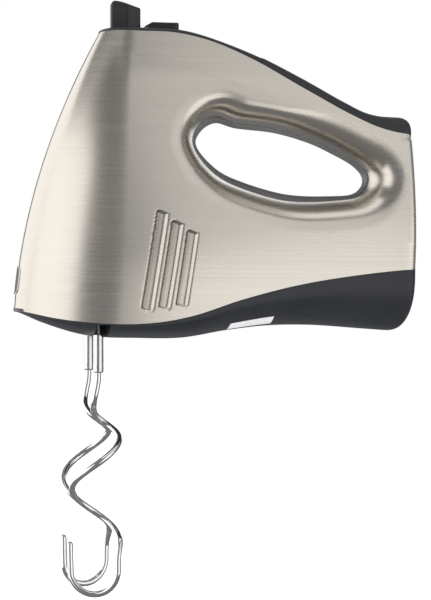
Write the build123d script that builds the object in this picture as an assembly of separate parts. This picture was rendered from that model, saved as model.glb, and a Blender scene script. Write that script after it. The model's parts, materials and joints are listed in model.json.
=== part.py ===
from build123d import *
from math import cos, degrees, hypot, pi, radians, sin
import os

os.makedirs("parts", exist_ok=True)

# Hand mixer with two dough hooks.
# The origin is the middle of the hand grip. +X points to the heel, +Z up, -Y to the mixer's left side.

# ---- driving dimensions, mm ----
WALL = 2.2  # thickness of the moulded and pressed shells
GAP = 0.3  # clearance round parts that move in an opening
FIT = 0.1  # clearance between parts that are assembled
REACH = 60  # half the depth of the cutting prisms, more than half the mixer's width
TOP_Z = 42.0  # highest level of the top cover
NOSE_TOP_Z = 41.0
NOSE_BOTTOM_Z = -105.0
NOSE_TOP_X = -110.0
NOSE_RUN = 80.0  # how far the nose line would run forward if it stayed straight
NOSE_CURL = 34.5  # how much of that the curve of the nose takes back
FLAT_TOP_X = -95.0  # where the round nose meets the sides, at the top and at the bottom
FLAT_BOTTOM_X = -104.0
FRONT_HALF_WIDTH = (17.0, 43.0)  # at the top and at the bottom
REAR_HALF_WIDTH = (16.0, 27.0)
REAR_X = 66.0  # the plan sections run past the heel, and the side outline trims them
SECTION_Z = (50.0, 15.0, -20.0, -55.0, -85.0, -107.0, -126.0)
TUCK = 0.72  # width left at the lowest section, under the base

LINER_HALF_WIDTH = 5.0  # the metal lips stop here and the grey liner shows between them
FLARE = ((5.0, 0.0), (15.0, 1.5), (24.0, 5.0), (45.0, 20.0))  # half depth, distance out from the lip

GRIP_START_X = -26.0  # the thumb grip begins here, behind the top cover
NOSE_STRIP = (-100.0, 4.5)  # the dark strip lies in front of this, this far to each side
REAR_STRIP = (50.0, 6.0)

SPINDLE_X = -113.3
SPINDLE_Y = 20.0
MOTOR_Z = -87.0  # height of the motor shaft and of the worm wheels' mid plane
MODULE = 1.0
WHEEL_TEETH = 30
WORM_PITCH_RADIUS = 5.0
WHEEL_PITCH_RADIUS = MODULE * WHEEL_TEETH / 2
WORM_PITCH = pi * MODULE
WHEEL_WIDTH = 8.0
SHAFT_RADIUS = 3.0

TUBE_RADIUS = 4.5  # steel drive tube that carries a hook
TUBE_BORE = 2.4
HOOK_SHAFT_RADIUS = 2.3
SLEEVE_RADIUS = 2.7
WIRE_RADIUS = 1.7
SLEEVE_TOP_Z = -119.9
SLEEVE_BOTTOM_Z = -140.4
HOOK_SHAFT_TOP_Z = -74.4

DRIVE_TUBE_TOP_Z = -74.8

LEVER_X = -96.0
LEVER_DISC_RADIUS = 8.2
EJECT_TRAVEL = 7.0  # the lever pushes the fork and both hooks down by this
YOKE_Z = DRIVE_TUBE_TOP_Z + EJECT_TRAVEL + 1.8  # underside of the fork's yoke, which stays above the tubes
YOKE_THICKNESS = 4.0
SHELF_TOP_Z = -13.5  # the eject spring stands on the switch bracket's shelf
SPRING_COLLAR_Z = (6.0, 9.9)
BUTTON_X = (-86.1, -67.9)
BUTTON_MID_X = (BUTTON_X[0] + BUTTON_X[1]) / 2
BUTTON_HALF_WIDTH = 7.0
BUTTON_TOP_Z = 45.9
BUTTON_TRAVEL = 2.5
BUTTON_FLANGE_Z = (35.4, 37.2)
TURBO_SWITCH_TOP_Z = 25.0

CORD_BORE_RADIUS = 4.5
CORD_Z = -99.0

# Metal lip of the hand opening and the liner's narrowest line, both clockwise from the front end (x, z).
LIP = (
    (-61.4, -19.4), (-58.0, -9.5), (-48.5, -4.2), (-36.7, -7.4), (-15.2, -10.1), (4.8, -15.6),
    (20.0, -22.2), (32.5, -29.2), (37.4, -36.4), (32.5, -45.0), (20.0, -48.2), (-10.2, -48.7),
    (-39.5, -40.6), (-53.7, -31.4),
)
GRIP_LINE = (
    (-57.8, -18.9), (-54.5, -11.0), (-46.5, -6.9), (-35.6, -9.6), (-13.8, -11.8), (6.3, -17.2),
    (21.4, -24.0), (31.6, -29.4), (36.2, -36.2), (31.0, -43.6), (19.0, -45.6), (-8.7, -44.9),
    (-37.0, -36.9), (-49.8, -29.2),
)


# ---- small helpers ----
def block(x, y, z):
    """Box between two values along each axis."""
    size = (x[1] - x[0], y[1] - y[0], z[1] - z[0])
    middle = ((x[0] + x[1]) / 2, (y[0] + y[1]) / 2, (z[0] + z[1]) / 2)
    return Pos(*middle) * Box(*size)


def bar_x(radius, x, y, z):
    return Pos((x[0] + x[1]) / 2, y, z) * Rot(0, 90, 0) * Cylinder(radius, x[1] - x[0])


def bar_y(radius, x, y, z):
    return Pos(x, (y[0] + y[1]) / 2, z) * Rot(90, 0, 0) * Cylinder(radius, y[1] - y[0])


def bar_z(radius, x, y, z):
    return Pos(x, y, (z[0] + z[1]) / 2) * Cylinder(radius, z[1] - z[0])


def both_sides(part):
    """The part and its mirror image across the mixer's middle plane."""
    return [part, mirror(part, about=Plane.XZ)]


def side_prism(edges, reach=REACH):
    """Closed outline in the side view, pushed out equally to both sides."""
    return extrude(Plane.XZ * make_face(edges), amount=reach, both=True)


def ring_points(outline, out):
    """Points of a closed outline moved outwards, square to the line through their neighbours."""
    moved = []
    for i, (x, z) in enumerate(outline):
        before = outline[i - 1]
        after = outline[(i + 1) % len(outline)]
        run = (after[0] - before[0], after[1] - before[1])
        length = hypot(*run)
        moved.append((x - out * run[1] / length, z + out * run[0] / length))
    return moved


def ring_face(outline, out, y):
    """Face bounded by the moved outline, in the plane at the given y."""
    curve = Spline(*ring_points(outline, out), periodic=True)
    return Plane((0, y, 0), x_dir=(1, 0, 0), z_dir=(0, -1, 0)) * make_face(curve)


NOSE_ROOM = block((-180, NOSE_STRIP[0]), (-NOSE_STRIP[1], NOSE_STRIP[1]), (-140, 80))
REAR_ROOM = block((REAR_STRIP[0], 80), (-REAR_STRIP[1], REAR_STRIP[1]), (-140, 80))


def export(name, solids):
    """Write one node."""
    solids = solids if isinstance(solids, list) else [solids]
    pieces = [piece for solid in solids for piece in solid.solids()]
    shape = pieces[0] if len(pieces) == 1 else Compound(children=pieces)
    export_step(shape, f"parts/{name}.step")


# ---- the body's outer form ----
def plan_section(z, inset):
    """Horizontal section: a half ellipse for the nose, a curve along each side, a straight heel."""
    share = (NOSE_TOP_Z - z) / (NOSE_TOP_Z - NOSE_BOTTOM_Z)
    lean = sin(pi / 2 * min(max(share, 0), 1))
    tuck = TUCK if z < -120 else 1
    nose = NOSE_TOP_X - NOSE_RUN * share + NOSE_CURL * share**2 + inset
    flat = FLAT_TOP_X + (FLAT_BOTTOM_X - FLAT_TOP_X) * share
    front = (FRONT_HALF_WIDTH[0] + (FRONT_HALF_WIDTH[1] - FRONT_HALF_WIDTH[0]) * lean) * tuck - inset
    rear = (REAR_HALF_WIDTH[0] + (REAR_HALF_WIDTH[1] - REAR_HALF_WIDTH[0]) * lean) * tuck - inset
    outline = EllipticalCenterArc((flat, 0), flat - nose, front, start_angle=90, arc_size=180)
    outline += Bezier((flat, front), (flat + 60, front), (-10, rear), (REAR_X, rear))
    outline += Bezier((flat, -front), (flat + 60, -front), (-10, -rear), (REAR_X, -rear))
    outline += Line((REAR_X, -rear), (REAR_X, rear))
    return Pos(0, 0, z) * make_face(outline)


def side_outline(inset):
    """Side view of the whole body, clockwise: top line, rounded heel and hull-shaped underside.

    The edges run smoothly into each other, so each is drawn in by the inset on its own.
    """
    edges = [
        Line((-170, TOP_Z), (-72, TOP_Z)),
        Spline(
            (-72, TOP_Z), (-44.5, 35.0), (-3.7, 18.0), (21.4, 4.6), (40, -2.2), (52, -3.0),
            tangents=((1, 0), (1, 0)),
        ),
        CenterArc((52, -8.0), 5.0, 90, -90),
        Spline((57.0, -8.0), (59.2, -58), (57.6, -95), tangents=((0, -1), (-0.08, -1))),
        Spline((57.6, -95), (53.2, -111.5), (44.0, -119.2), tangents=((-0.08, -1), (-1, 0.1))),
        Spline(
            (44.0, -119.2), (2.0, -116.0), (-43.4, -118.6), (-80.0, -122.8), (-119.2, -120.9), (-170, -103.0),
            tangents=((-1, 0.1), (-1, 0.45)),
        ),
    ]
    outline = Curve()
    for edge in edges:
        points = []
        for i in range(9):
            along = edge % (i / 8)
            points.append((edge @ (i / 8)) + Vector(along.Y, -along.X) * inset)
        if edge.geom_type == GeomType.LINE:
            outline += Line(points[0], points[-1])
        else:
            outline += Spline(*points, tangents=(edge % 0, edge % 1))
        last = points[-1]
    first = Vector(-170, TOP_Z - inset)
    return outline + Line(last, first)


def body_form(inset):
    """Outer form of the body, or the same form drawn in by the inset."""
    form = loft([plan_section(z, inset) for z in SECTION_Z])
    return form & side_prism(side_outline(inset))


def hand_mouth(wall):
    """The left flared mouth of the hand opening. A wall thickness makes it that much larger."""
    return loft([ring_face(LIP, out + wall, wall - depth) for depth, out in FLARE])


def base_line():
    """Lower edge of the metal, from in front of the nose to behind the heel."""
    return Spline(
        (-172, -103.5), (-155, -108.2), (-124, -113.6), (-96, -115.0), (-67, -111.0), (-41, -102.8),
        (-14, -96.0), (27, -89.2), (72, -84.5),
    )


def base_region():
    outline = base_line()
    outline += Polyline((72, -84.5), (72, -135), (-172, -135), (-172, -103.5))
    return side_prism(outline)


def top_region():
    """Everything above the upper edge of the metal."""
    outline = Line((-172, 38.4), (-72, 38.4))
    outline += Spline((-72, 38.4), (-52, 34.0), (-20, 19.5), (26.6, -4.8), (46.7, -11.4), (72, -13.6),
                      tangents=((1, 0), (1, -0.02)))
    outline += Polyline((72, -13.6), (72, 60), (-172, 60), (-172, 38.4))
    return side_prism(outline)


def louvre_slits():
    """Three slanted air slits through each side, each lower and further back than the one before."""
    slits = []
    for i in range(3):
        top = (-84.6 + 8.0 * i, -57.5 - 5.0 * i)
        bottom = (-92.6 + 9.0 * i, -105.5 + 0.8 * i)
        outline = Polyline(top, (top[0] + 2.6, top[1] - 1), (bottom[0] + 2.6, bottom[1] - 0.5), bottom, top)
        slits.append(side_prism(outline))
    return slits


def socket_notch(side, wall):
    """Recess in the base's rim round one spindle, open to the mixer's side."""
    edge = 5.0 + wall
    y = side * SPINDLE_Y
    notch = bar_z(edge, SPINDLE_X, y, (-130, -115.2 + wall))
    outwards = sorted((y, side * REACH))
    return notch + block((SPINDLE_X - edge, SPINDLE_X + edge), outwards, (-130, -115.2 + wall))


def side_shell(outer, cavity, below, above):
    """Left metal shell: nose to heel, with its lip round the hand opening and three air slits."""
    left = block((-180, 80), (-REACH, 0), (-140, 80))
    form = (outer & left) - hand_mouth(0)
    form -= extrude(ring_face(LIP, 0, 0), amount=LINER_HALF_WIDTH, both=True)
    room = (cavity & left) - hand_mouth(WALL)
    shell = form - room - below - above
    shell -= extrude(ring_face(LIP, WALL, 0), amount=LINER_HALF_WIDTH - 0.2, both=True)
    shell -= NOSE_ROOM
    shell -= REAR_ROOM
    for slit in louvre_slits():
        shell -= slit
    return shell.solids().sort_by(SortBy.VOLUME)[-1]


def base_housing(outer, cavity, below):
    """Dark lower housing, with a recess round each hook and the hole for the cord's bush."""
    base = (outer & below) - cavity
    for side in (-1, 1):
        base += socket_notch(side, WALL) & cavity & below
    for side in (-1, 1):
        base -= socket_notch(side, 0)
        base -= bar_z(5.4, SPINDLE_X, side * SPINDLE_Y, (-130, -100))
    return base - bar_x(7.0, (40, 80), 0, CORD_Z)


def top_cover(top):
    """Black cover over the switches, with a round hole for the lever and a square one for the button."""
    cover = top & block((-180, GRIP_START_X), (-REACH, REACH), (-140, 80))
    cover -= bar_z(LEVER_DISC_RADIUS + GAP, LEVER_X, 0, (30, 60))
    button_y = BUTTON_HALF_WIDTH + GAP
    return cover - block((BUTTON_X[0] - GAP, BUTTON_X[1] + GAP), (-button_y, button_y), (30, 60))


def casing():
    """Shells, base, top cover, grip and strips, all cut from one wall between two forms."""
    outer = body_form(0)
    cavity = body_form(WALL)
    below = base_region()
    above = top_region()
    left = side_shell(outer, cavity, below, above)
    top = (outer & above) - cavity
    export("left_side_shell", left)
    export("right_side_shell", mirror(left, about=Plane.XZ))
    export("base_housing", base_housing(outer, cavity, below))
    export("top_cover", top_cover(top))
    export("thumb_grip", top & block((GRIP_START_X, 80), (-REACH, REACH), (-140, 80)))
    export("nose_strip", (outer & NOSE_ROOM) - cavity - below - above)
    export("rear_strip", (outer & REAR_ROOM) - cavity - below - above)
    export("nose_badge", (block((-158, -150), (-8, 8), (-99.3, -84.6)) & body_form(-0.5)) - outer)


def handle_liner():
    """Grey ring that lines the hand opening. It bulges between the lips and tucks in behind them."""
    tucked = extrude(ring_face(LIP, WALL - FIT, 0), amount=LINER_HALF_WIDTH - 0.2 - FIT, both=True)
    return tucked - extrude(ring_face(GRIP_LINE, 0, 0), amount=20, both=True)


# ---- motor ----
def worm_shaft():
    """Motor shaft with a single-start worm cut near its front end. Its thread faces +Y over the wheels."""
    shaft = bar_x(SHAFT_RADIUS, (-133.5, -15), 0, MOTOR_Z)
    root = 3.9
    core = bar_x(root, (-127, -99.5), 0, MOTOR_Z)
    turns = 7
    start = SPINDLE_X - turns / 2 * WORM_PITCH
    helix = Helix(pitch=WORM_PITCH, height=turns * WORM_PITCH, radius=root)
    profile = Plane(origin=(root, 0, 0), x_dir=(1, 0, 0), z_dir=(0, 1, 0)) * Polygon(
        (-0.6, -0.85), (2.0, -0.35), (2.0, 0.35), (-0.6, 0.85), align=None
    )
    thread = sweep(profile, path=helix, is_frenet=True)
    # The helix is made along Z from +X. Turning it over puts it along X, with that side facing +Y.
    place = Plane(origin=(start, 0, MOTOR_Z), x_dir=(0, -1 if turns % 2 else 1, 0), z_dir=(1, 0, 0))
    return shaft + core + place * thread


def armature_core():
    core = bar_x(13.5, (-75, -45), 0, MOTOR_Z)
    for i in range(12):
        slot = Pos(0, 0, MOTOR_Z) * Rot(30 * i, 0, 0) * block((-80, -40), (-0.9, 0.9), (8.5, 20))
        core -= slot
    return core - bar_x(SHAFT_RADIUS, (-80, -40), 0, MOTOR_Z)


def armature_windings():
    ends = []
    for x in ((-81, -75), (-45, -39)):
        end = bar_x(12.0, x, 0, MOTOR_Z) - bar_x(SHAFT_RADIUS, x, 0, MOTOR_Z)
        ends.append(fillet(end.edges().filter_by(GeomType.CIRCLE).sort_by(SortBy.RADIUS)[-2:], 2))
    return ends


def commutator():
    barrel = bar_x(8.0, (-38, -27), 0, MOTOR_Z) - bar_x(SHAFT_RADIUS, (-39, -26), 0, MOTOR_Z)
    for i in range(24):
        barrel -= Pos(0, 0, MOTOR_Z) * Rot(15 * i, 0, 0) * block((-36, -26), (-0.2, 0.2), (7.2, 9))
    return barrel


def cooling_fan():
    fan = bar_x(6.0, (-91, -83), 0, MOTOR_Z) + bar_x(20.0, (-84, -83), 0, MOTOR_Z)
    for i in range(9):
        blade = Pos(0, 0, MOTOR_Z) * Rot(40 * i, 0, 0) * Pos(0, 0, 12.5) * Rot(0, 0, 20)
        fan += Pos(-87.5, 0, 0) * blade * Box(7, 1.2, 14)
    return fan - bar_x(SHAFT_RADIUS, (-92, -82), 0, MOTOR_Z)


def stator_core():
    """Laminated square frame with a bore, and four windows that the two field coils pass through."""
    frame = block((-75, -45), (-23, 23), (MOTOR_Z - 22, MOTOR_Z + 22))
    frame = fillet(frame.edges().filter_by(Axis.X), 7)
    frame -= bar_x(14.1, (-80, -40), 0, MOTOR_Z)
    for up in (-1, 1):
        for side in (-1, 1):
            y = sorted((side * 8, side * 18))
            z = sorted((MOTOR_Z + up * 13.2, MOTOR_Z + up * 18.8))
            frame -= block((-80, -40), y, z)
    for side in (-1, 1):
        frame -= bar_x(1.6, (-80, -40), side * 19.5, MOTOR_Z + 8)
    return frame


def field_coils():
    coils = []
    for up in (-1, 1):
        z = sorted((MOTOR_Z + up * 13.4, MOTOR_Z + up * 18.6))
        coil = block((-81, -39), (-17.8, 17.8), z)
        coil = fillet(coil.edges().filter_by(Axis.Z), 5)
        coils.append(coil - block((-75.2, -44.8), (-8.2, 8.2), z))
    return coils


def rear_bracket():
    """Bridge behind the motor that holds the rear bearing and the brush holders."""
    plate = bar_x(22.0, (-20, -17), 0, MOTOR_Z)
    boss = bar_x(9.5, (-26, -17), 0, MOTOR_Z)
    bridge = plate + boss
    for side in (-1, 1):
        y = sorted((side * 17, side * 22))
        bridge += block((-45, -17), y, (MOTOR_Z + 4.5, MOTOR_Z + 12))
    bridge -= bar_x(8.1, (-27, -21), 0, MOTOR_Z)
    bridge -= bar_x(SHAFT_RADIUS + 0.5, (-30, -10), 0, MOTOR_Z)
    bridge -= brush_opening()
    for side in (-1, 1):
        bridge -= bar_x(1.6, (-50, -10), side * 19.5, MOTOR_Z + 8)
    return bridge


def brush_opening():
    return block((-36.6, -28.4), (-30, 30), (MOTOR_Z - 3.1, MOTOR_Z + 3.1))


def rear_bearing():
    """Sits in the rear bracket's pocket, between the commutator and the plate."""
    return bar_x(8.0, (-26, -21), 0, MOTOR_Z) - bar_x(SHAFT_RADIUS + 0.03, (-27, -20), 0, MOTOR_Z)


def brush_holders():
    tube = block((-36.4, -28.6), (9, 24), (MOTOR_Z - 3, MOTOR_Z + 3))
    tube -= block((-35.1, -29.9), (8, 22.8), (MOTOR_Z - 2.1, MOTOR_Z + 2.1))
    return both_sides(tube)


def carbon_brushes():
    brush = block((-35, -30), (8.1, 17), (MOTOR_Z - 2, MOTOR_Z + 2))
    brush -= bar_x(8.15, (-40, -20), 0, MOTOR_Z)
    return both_sides(brush)


def stator_screws():
    """Two long screws that clamp the rear bracket to the stator. Their heads are behind the bracket."""
    z = MOTOR_Z + 8
    screw = bar_x(1.5, (-76, -17), 19.5, z) + bar_x(3.0, (-17, -14.6), 19.5, z)
    return both_sides(screw)


# ---- gearbox ----
def gearbox_plate(z):
    """Plate across the gearbox, narrower at the nose."""
    outline = Polyline(
        (-136, -23), (-126, -32.5), (-118, -36), (-92, -36), (-92, 36), (-118, 36), (-126, 32.5), (-136, 23), (-136, -23)
    )
    return extrude(Pos(0, 0, z[0]) * make_face(outline), amount=z[1] - z[0])


def gearbox_posts(radius, z):
    """Four round posts, or the holes for their screws."""
    posts = []
    for x, y in ((-133, 20.5), (-95.2, 30)):
        posts += both_sides(bar_z(radius, x, y, z))
    return posts


def gear_case():
    """Tray under the worm wheels. Its ends hold the shaft's front bearings, its bosses the drive tubes."""
    case = gearbox_plate((MOTOR_Z - 9, MOTOR_Z - 6))
    case += block((-136, -129), (-9, 9), (MOTOR_Z - 7, MOTOR_Z + 9))
    case += block((-100, -93), (-10, 10), (MOTOR_Z - 7, MOTOR_Z + 9.5))
    case += gearbox_posts(2.6, (MOTOR_Z - 7, MOTOR_Z + 9.5))
    for side in (-1, 1):
        case += bar_z(8.0, SPINDLE_X, side * SPINDLE_Y, (-108, MOTOR_Z - 6))
    for side in (-1, 1):
        case -= bar_z(TUBE_RADIUS + 0.05, SPINDLE_X, side * SPINDLE_Y, (-120, -80))
    case -= gearbox_posts(1.0, (MOTOR_Z + 1, MOTOR_Z + 20))
    case -= bar_x(5.0, (-136.5, -128), 0, MOTOR_Z)
    case -= bar_x(8.0, (-98, -90), 0, MOTOR_Z)
    return case - bar_x(6.4, (-129.5, -90), 0, MOTOR_Z)


def nose_bush():
    return bar_x(5.0, (-136, -129), 0, MOTOR_Z) - bar_x(SHAFT_RADIUS + 0.03, (-137, -128), 0, MOTOR_Z)


def front_bearing():
    return bar_x(8.0, (-98, -93), 0, MOTOR_Z) - bar_x(SHAFT_RADIUS + 0.03, (-99, -92), 0, MOTOR_Z)


def gear_cover():
    cover = gearbox_plate((MOTOR_Z + 9.5, MOTOR_Z + 12))
    for side in (-1, 1):
        cover -= bar_z(TUBE_RADIUS + 0.05, SPINDLE_X, side * SPINDLE_Y, (-90, -60))
    return cover - gearbox_posts(1.3, (-90, -60))


def gear_cover_screws():
    threads = gearbox_posts(0.95, (MOTOR_Z + 2, MOTOR_Z + 12))
    heads = gearbox_posts(2.2, (MOTOR_Z + 12, MOTOR_Z + 13.5))
    return [thread + head for thread, head in zip(threads, heads)]


def worm_wheel(side):
    """Nylon wheel, 30 slanted teeth. A tooth gap of the right one and a tooth of the left one face the worm."""
    half_root, half_tip = 0.85, 0.35
    root, tip = WHEEL_PITCH_RADIUS - 1.2, WHEEL_PITCH_RADIUS + 0.9
    facing = 90 if side < 0 else -90
    first = facing if side < 0 else facing + 180 / WHEEL_TEETH
    outline = []
    for i in range(WHEEL_TEETH):
        middle = radians(first + 360 / WHEEL_TEETH * i)
        for radius, half in ((root, -half_root), (tip, -half_tip), (tip, half_tip), (root, half_root)):
            angle = middle + half / radius
            outline.append((radius * cos(angle), radius * sin(angle)))
    lead = WORM_PITCH / (2 * pi * WORM_PITCH_RADIUS)
    twist = degrees(WHEEL_WIDTH * lead / WHEEL_PITCH_RADIUS)
    face = Face(Wire.make_polygon(outline))
    slanted = Solid.extrude_linear_with_rotation(face, (0, 0, 0), (0, 0, WHEEL_WIDTH), twist)
    wheel = Part() + Pos(SPINDLE_X, side * SPINDLE_Y, MOTOR_Z - WHEEL_WIDTH / 2) * Rot(0, 0, -twist / 2) * slanted
    wheel += bar_z(7.0, SPINDLE_X, side * SPINDLE_Y, (MOTOR_Z - 5.8, MOTOR_Z + 9.2))
    return wheel - bar_z(TUBE_RADIUS, SPINDLE_X, side * SPINDLE_Y, (-120, -60))


def drive_tube(side):
    tube = bar_z(TUBE_RADIUS, SPINDLE_X, side * SPINDLE_Y, (-112, DRIVE_TUBE_TOP_Z))
    tube -= bar_z(TUBE_BORE, SPINDLE_X, side * SPINDLE_Y, (-120, -60))
    groove = bar_z(8, SPINDLE_X, side * SPINDLE_Y, (-109.4, -108.4))
    return tube - (groove - bar_z(4.0, SPINDLE_X, side * SPINDLE_Y, (-110, -108)))


def tube_clip(side):
    """Open spring clip in the drive tube's groove, under the boss of the gear case."""
    clip = bar_z(6.8, SPINDLE_X, side * SPINDLE_Y, (-109.3, -108.5))
    clip -= bar_z(4.0, SPINDLE_X, side * SPINDLE_Y, (-110, -108))
    mouth = sorted((side * (SPINDLE_Y + 2), side * (SPINDLE_Y + 10)))
    return clip - block((SPINDLE_X - 2.2, SPINDLE_X + 2.2), mouth, (-110, -108))


# ---- dough hooks ----
def hook_route():
    """Centre line of the left hook's wire, before it is turned: across the hook, behind it, and down."""
    route = [(0, 0, -132.0), (-0.6, 0, -148.5)]
    for i in range(1, 5):
        share = i / 4
        angle = radians(180 - 180 * share)
        radius = 2.0 + 10.5 * share
        route.append((-1.3 * share + radius * cos(angle), radius * sin(angle), -154.7 - 21 * share))
    for i in range(1, 9):
        angle = -radians(45 * i)
        route.append((-1.3 + 12.5 * cos(angle), 12.5 * sin(angle), -175.7 - 55.0 * i / 8))
    bottom = -243.8
    route.append((10.6, 0, bottom + 0.5))
    for angle in (45, 135):
        reach = 12.6 / cos(radians(45))
        route.append((-2.2 + reach * cos(radians(angle)), 0, bottom - reach * sin(radians(angle))))
    route.append((-15.0, 0, -230.0))
    return route


def hook_wire(side):
    points = [Vector(*point) for point in hook_route()]
    radii = []
    for before, corner, after in zip(points, points[1:], points[2:]):
        shorter = min((corner - before).length, (after - corner).length)
        turn = (corner - before).get_angle(after - corner)
        radii.append(0.45 * shorter / max(sin(radians(turn / 2)) / cos(radians(turn / 2)), 1e-3))
    path = FilletPolyline(*points, radius=radii)
    wire = sweep(Pos(*points[0]) * Circle(WIRE_RADIUS), path=path)
    placed = Pos(SPINDLE_X, -SPINDLE_Y, 0) * Rot(0, 0, -20) * wire
    return placed if side < 0 else mirror(placed, about=Plane.XZ)


def hook_shaft(side):
    shaft = bar_z(HOOK_SHAFT_RADIUS, SPINDLE_X, side * SPINDLE_Y, (-131, HOOK_SHAFT_TOP_Z))
    return chamfer(shaft.edges().sort_by(Axis.Z)[-1:], 0.8)


def hook_sleeve(side):
    """Steel tube crimped over the shaft's end and the wire's end."""
    z = (SLEEVE_BOTTOM_Z, SLEEVE_TOP_Z)
    sleeve = bar_z(SLEEVE_RADIUS, SPINDLE_X, side * SPINDLE_Y, z)
    sleeve = fillet(sleeve.edges().filter_by(GeomType.CIRCLE), 0.6)
    sleeve -= bar_z(HOOK_SHAFT_RADIUS, SPINDLE_X, side * SPINDLE_Y, (-131, -110))
    return sleeve - hook_wire(side)


def hook_collar():
    """Disc on the left hook's shaft only, so that it can't go into the right socket."""
    collar = bar_z(4.2, SPINDLE_X, -SPINDLE_Y, (-114.6, -113.0))
    return collar - bar_z(HOOK_SHAFT_RADIUS, SPINDLE_X, -SPINDLE_Y, (-120, -110))


# ---- controls and eject ----
def coil_spring(x, y, z, radius, wire, turns):
    """Round-wire compression spring between two levels."""
    low, high = z[0] + wire, z[1] - wire
    helix = Helix(pitch=(high - low) / turns, height=high - low, radius=radius)
    section = Plane(origin=helix @ 0, z_dir=helix % 0) * Circle(wire)
    return Pos(x, y, low) * sweep(section, path=helix, is_frenet=True)


def speed_lever():
    """Round base, a raised grip that is pointed to the sides and higher at the front, and a square stem."""
    base = bar_z(LEVER_DISC_RADIUS, LEVER_X, 0, (33.5, TOP_Z))
    plan = Polyline((-8, 1.6), (-8, -1.6), (0.5, -5.4), (7.8, -2.0), (7.8, 2.0), (0.5, 5.4), (-8, 1.6))
    grip = extrude(Pos(LEVER_X, 0, 36) * make_face(plan), amount=30)
    slope = Polyline((-105, 20), (-105, 57.4), (-102.5, 57.4), (-86, 52.8), (-86, 20), (-105, 20))
    grip = fillet(grip.edges().filter_by(Axis.Z), 0.8) & side_prism(slope)
    stem = block((LEVER_X - 2.5, LEVER_X + 2.5), (-2.5, 2.5), (10, 36))
    return base + grip + stem


def switch_rotor():
    rotor = bar_z(6.5, LEVER_X, 0, (15, 22)) + bar_z(9.5, LEVER_X, 0, (17.5, 19.0))
    return rotor - block((LEVER_X - 2.6, LEVER_X + 2.6), (-2.6, 2.6), (0, 40))


def switch_body():
    """Rotary speed switch round the rotor, open to the top."""
    case = block((LEVER_X - 12, LEVER_X + 12), (-12.5, 12.5), (13, 24))
    case -= bar_z(6.7, LEVER_X, 0, (10, 30))
    case -= bar_z(9.8, LEVER_X, 0, (17.2, 30))
    return case


def switch_bracket():
    """Shelf fixed across the body under the switches. The eject rod runs through its guide."""
    shelf = block((-108, -66), (-14.5, 14.5), (SHELF_TOP_Z - 2.5, SHELF_TOP_Z))
    for x in ((-108, -106), (-68, -66)):
        for side in (-1, 1):
            y = sorted((side * 12.6, side * 14.5))
            shelf += block(x, y, (SHELF_TOP_Z, 13))
    shelf += block((-108, -66), (-14.5, -12.6), (10.5, 13)) + block((-108, -66), (12.6, 14.5), (10.5, 13))
    shelf += block((-108, -66), (-14.5, 14.5), (11.5, 13)) - bar_z(6.0, LEVER_X, 0, (0, 30))
    shelf -= bar_z(3.05, LEVER_X, 0, (-20, -10))
    return shelf


def eject_fork():
    """Rod under the lever, with a collar for the spring and two prongs that push the hooks out."""
    level = (YOKE_Z, YOKE_Z + YOKE_THICKNESS)
    rod = bar_z(3.0, LEVER_X, 0, (YOKE_Z + 2, SPRING_COLLAR_Z[1])) + bar_z(5.6, LEVER_X, 0, SPRING_COLLAR_Z)
    arm = block((SPINDLE_X - 4, LEVER_X + 4), (-4, 4), level)
    yoke = block((SPINDLE_X - 4, SPINDLE_X + 4), (-SPINDLE_Y - 4, SPINDLE_Y + 4), level)
    fork = rod + arm + yoke
    for side in (-1, 1):
        fork += bar_z(2.1, SPINDLE_X, side * SPINDLE_Y, (HOOK_SHAFT_TOP_Z + FIT, YOKE_Z))
    return fork


def turbo_button():
    cap = block(BUTTON_X, (-BUTTON_HALF_WIDTH, BUTTON_HALF_WIDTH), (BUTTON_FLANGE_Z[1], BUTTON_TOP_Z))
    cap = fillet(cap.edges().filter_by(Axis.Z), 2.0)
    cap = chamfer(cap.edges().group_by(Axis.Z)[-1].sort_by(Axis.X)[:1], 1.8)
    flange = block((BUTTON_X[0] + 0.8, BUTTON_X[1] + 1.5), (-9.0, 9.0), BUTTON_FLANGE_Z)
    stem = bar_z(1.5, BUTTON_MID_X, 0, (TURBO_SWITCH_TOP_Z + BUTTON_TRAVEL + 0.5, BUTTON_FLANGE_Z[0] + 0.6))
    return cap + flange + stem


def turbo_switch():
    case = block((-83, -70), (-6, 6), (13, TURBO_SWITCH_TOP_Z))
    return case - bar_z(1.8, BUTTON_MID_X, 0, (20, 30))


# ---- electrical parts and small trim ----
def control_board():
    """Board with the speed control's triac on its heat sink, two capacitors and a coil."""
    board = block((-120, -78), (18.4, 20), (-60, -28)) + block((-118, -106), (15, 18.4), (-50, -34))
    for x in (-99, -88):
        board += bar_y(3.5, x, (10, 18.4), -37)
    return board + block((-98, -84), (13, 18.4), (-57, -46))


def suppressor():
    return bar_x(6.0, (4, 24), -8, -103)


def terminal_block():
    body = block((8, 24), (4, 18), (-108, -98))
    for y in (7.5, 14.5):
        body -= bar_x(1.6, (5, 30), y, -103)
    return body


def cord_gland():
    """Rubber bush in the heel. The mains lead would leave through its bore."""
    bush = bar_x(6.9, (46, 59.0), 0, CORD_Z) + bar_x(8.5, (46.5, 49.5), 0, CORD_Z)
    return bush - bar_x(CORD_BORE_RADIUS, (40, 70), 0, CORD_Z)


def cord_clamp():
    clamp = block((38, 44), (-11, 11), (-96, -92.5))
    for side in (-1, 1):
        y = sorted((side * 7, side * 11))
        clamp += block((38, 44), y, (-108, -95))
    return clamp


def rating_label():
    return Pos(-33, -15, -118.15) * Rot(0, -6.0, 0) * Box(24, 13, 0.4)


def housing_screws():
    """Six screws that draw the base up to the side shells."""
    screws = []
    for x, y, z in ((-138, 16, -108), (-70, 30, -108), (30, 20, -107)):
        screw = bar_z(1.5, x, y, (z, z + 10)) + bar_z(3.0, x, y, (z - 2, z))
        screws += both_sides(screw)
    return screws


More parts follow.
